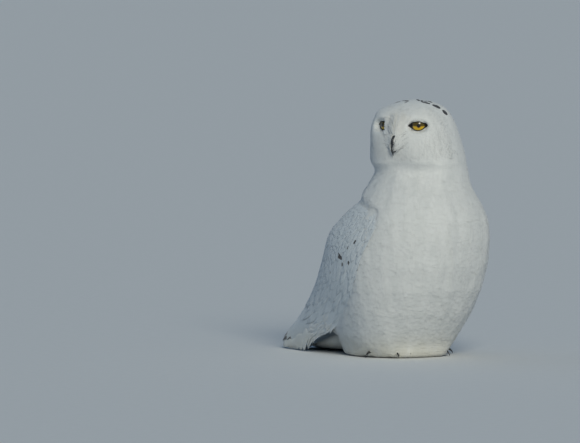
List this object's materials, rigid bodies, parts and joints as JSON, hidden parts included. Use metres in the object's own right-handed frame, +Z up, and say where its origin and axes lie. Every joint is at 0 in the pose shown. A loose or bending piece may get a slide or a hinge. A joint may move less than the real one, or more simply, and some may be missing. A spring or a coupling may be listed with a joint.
{
  "type": "snowy owl",
  "caption": "Life-size adult male snowy owl sitting upright on the ground, white with a few dark flecks, wings folded, head turned to its right, yellow eyes.",
  "frame": {"origin": "bottom centre of the bird's box, on the floor", "axes": "+Z up; the breast faces -Y and the bird's left side is +X; the head is turned 65 degrees to the bird's right"},
  "size_m": [0.241, 0.4076, 0.413],
  "materials": {
    "plumage": "soft matt white feathers",
    "horn": "smooth black horn",
    "eye": "wet and glossy, yellow iris with a black pupil"
  },
  "bodies": {
    "root": {"neck": "plumage", "trunk": "plumage", "head": "plumage", "tail": "plumage", "wing_left": "plumage", "wing_right": "plumage", "primaries_left": "plumage", "primaries_right": "plumage", "leg_left": "plumage", "leg_right": "plumage", "foot_left": "plumage", "foot_right": "plumage", "bill_upper": "horn", "bill_lower": "horn", "eye_left": "eye", "eye_right": "eye", "claw_left_inner": "horn", "claw_left_middle": "horn", "claw_left_outer": "horn", "claw_left_hind": "horn", "claw_right_inner": "horn", "claw_right_middle": "horn", "claw_right_outer": "horn", "claw_right_hind": "horn"}
  },
  "joints": []
}
